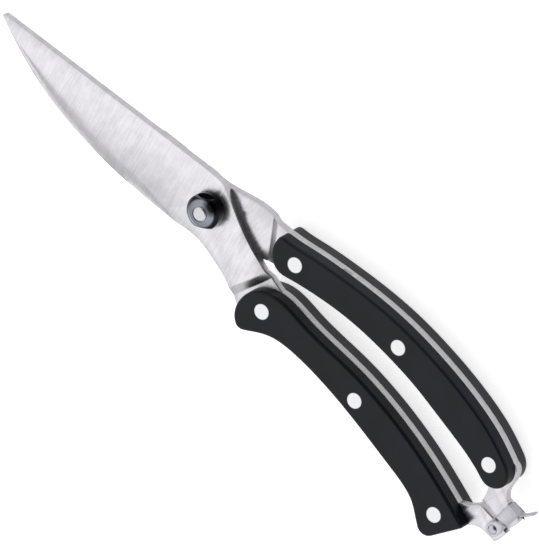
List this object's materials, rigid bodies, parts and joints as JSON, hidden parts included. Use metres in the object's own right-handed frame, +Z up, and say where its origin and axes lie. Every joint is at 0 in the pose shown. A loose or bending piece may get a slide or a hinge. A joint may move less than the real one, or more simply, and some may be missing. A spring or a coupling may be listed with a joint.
{
  "type": "poultry shears",
  "caption": "Poultry shears with curved riveted black grips, a domed pivot nut, a spring between the blades and a swinging clasp that holds the handles shut",
  "frame": {"origin": "centre of the bounding box of the closed, locked shears in plan, on the surface they lie on", "axes": "+X from the handles to the tips, +Y to the side of the front half's handle, +Z up out of the front blade's face, with the shears lying flat"},
  "size_m": [0.2702, 0.0556, 0.0172],
  "materials": {
    "blade_steel": "cross-brushed stainless steel",
    "grip": "satin black moulded plastic",
    "rivet": "flush ground rivet heads",
    "pivot_chrome": "polished nut and bolt",
    "clasp_steel": "satin sheet steel",
    "spring_steel": "bright spring wire"
  },
  "bodies": {
    "front_half": {"front_blade": "blade_steel", "front_grip_top_scale": "grip", "front_grip_bottom_scale": "grip", "front_nose_rivet_sleeve": "rivet", "front_nose_rivet_pin": "rivet", "front_middle_rivet_sleeve": "rivet", "front_middle_rivet_pin": "rivet", "front_heel_rivet_sleeve": "rivet", "front_heel_rivet_pin": "rivet", "pivot_bolt": "pivot_chrome", "pivot_nut": "pivot_chrome", "torsion_spring": "spring_steel", "clasp_pin": "clasp_steel"},
    "rear_half": {"rear_blade": "blade_steel", "rear_grip_top_scale": "grip", "rear_grip_bottom_scale": "grip", "rear_nose_rivet_sleeve": "rivet", "rear_nose_rivet_pin": "rivet", "rear_middle_rivet_sleeve": "rivet", "rear_middle_rivet_pin": "rivet", "rear_heel_rivet_sleeve": "rivet", "rear_heel_rivet_pin": "rivet"},
    "latch": {"clasp": "clasp_steel"}
  },
  "joints": [
    {"name": "blade_opening", "type": "hinge", "parent": "front_half", "child": "rear_half", "pos_m": [0.02955, 0.0026, 0.00735], "axis": [0, 0, 1], "range_deg": [0, 40], "deforming": ["torsion_spring"]},
    {"name": "latch_swing", "type": "hinge", "parent": "front_half", "child": "latch", "pos_m": [-0.12735, 0.0064, 0.00735], "axis": [0, 0, -1], "range_deg": [0, 110]}
  ]
}
